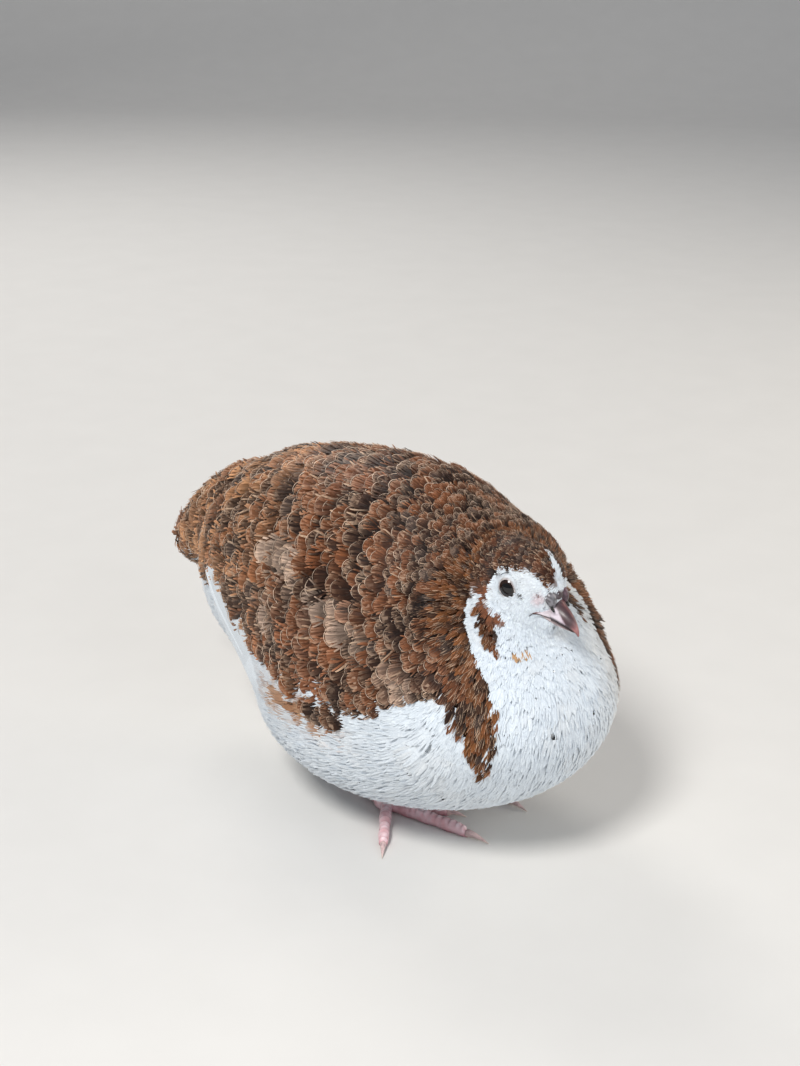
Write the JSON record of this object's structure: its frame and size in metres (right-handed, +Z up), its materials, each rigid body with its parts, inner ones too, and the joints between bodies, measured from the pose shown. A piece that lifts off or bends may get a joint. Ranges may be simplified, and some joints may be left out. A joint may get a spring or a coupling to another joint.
{
  "type": "coturnix quail, still life-size model",
  "caption": "Life-size still model of a tuxedo-pattern coturnix quail at rest, low on its feet, with white breast and face and a brown back.",
  "frame": {"origin": "on the floor under the middle of the bird's box", "axes": "+Z up, the bill points along -Y and the tail along +Y, the bird's right side is -X"},
  "size_m": [0.091, 0.1798, 0.111],
  "materials": {
    "body_plumage": "soft matte white feathers",
    "collar_plumage": "matte rufous brown feathers with pale shafts",
    "face_plumage": "fine matte white feathers",
    "wing_plumage": "matte chestnut feathers with dark bars and pale fringes",
    "bill_horn": "satin slate grey horn with a pinkish tip",
    "bill_pale": "satin pale lilac horn",
    "eye": "wet glossy black-brown",
    "foot_skin": "flesh pink scaled skin, slightly waxy",
    "claw": "satin pinkish horn"
  },
  "bodies": {
    "root": {"torso": "body_plumage", "neck": "collar_plumage", "head": "face_plumage", "bill_upper": "bill_horn", "bill_lower": "bill_pale", "eye_right": "eye", "eye_left": "eye", "wing_right": "wing_plumage", "wing_left": "wing_plumage", "tail": "wing_plumage", "leg_right": "body_plumage", "tarsus_right": "foot_skin", "toe_right_1": "foot_skin", "claw_right_1": "claw", "toe_right_2": "foot_skin", "claw_right_2": "claw", "toe_right_3": "foot_skin", "claw_right_3": "claw", "toe_right_4": "foot_skin", "claw_right_4": "claw", "leg_left": "body_plumage", "tarsus_left": "foot_skin", "toe_left_1": "foot_skin", "claw_left_1": "claw", "toe_left_2": "foot_skin", "claw_left_2": "claw", "toe_left_3": "foot_skin", "claw_left_3": "claw", "toe_left_4": "foot_skin", "claw_left_4": "claw"}
  },
  "joints": []
}
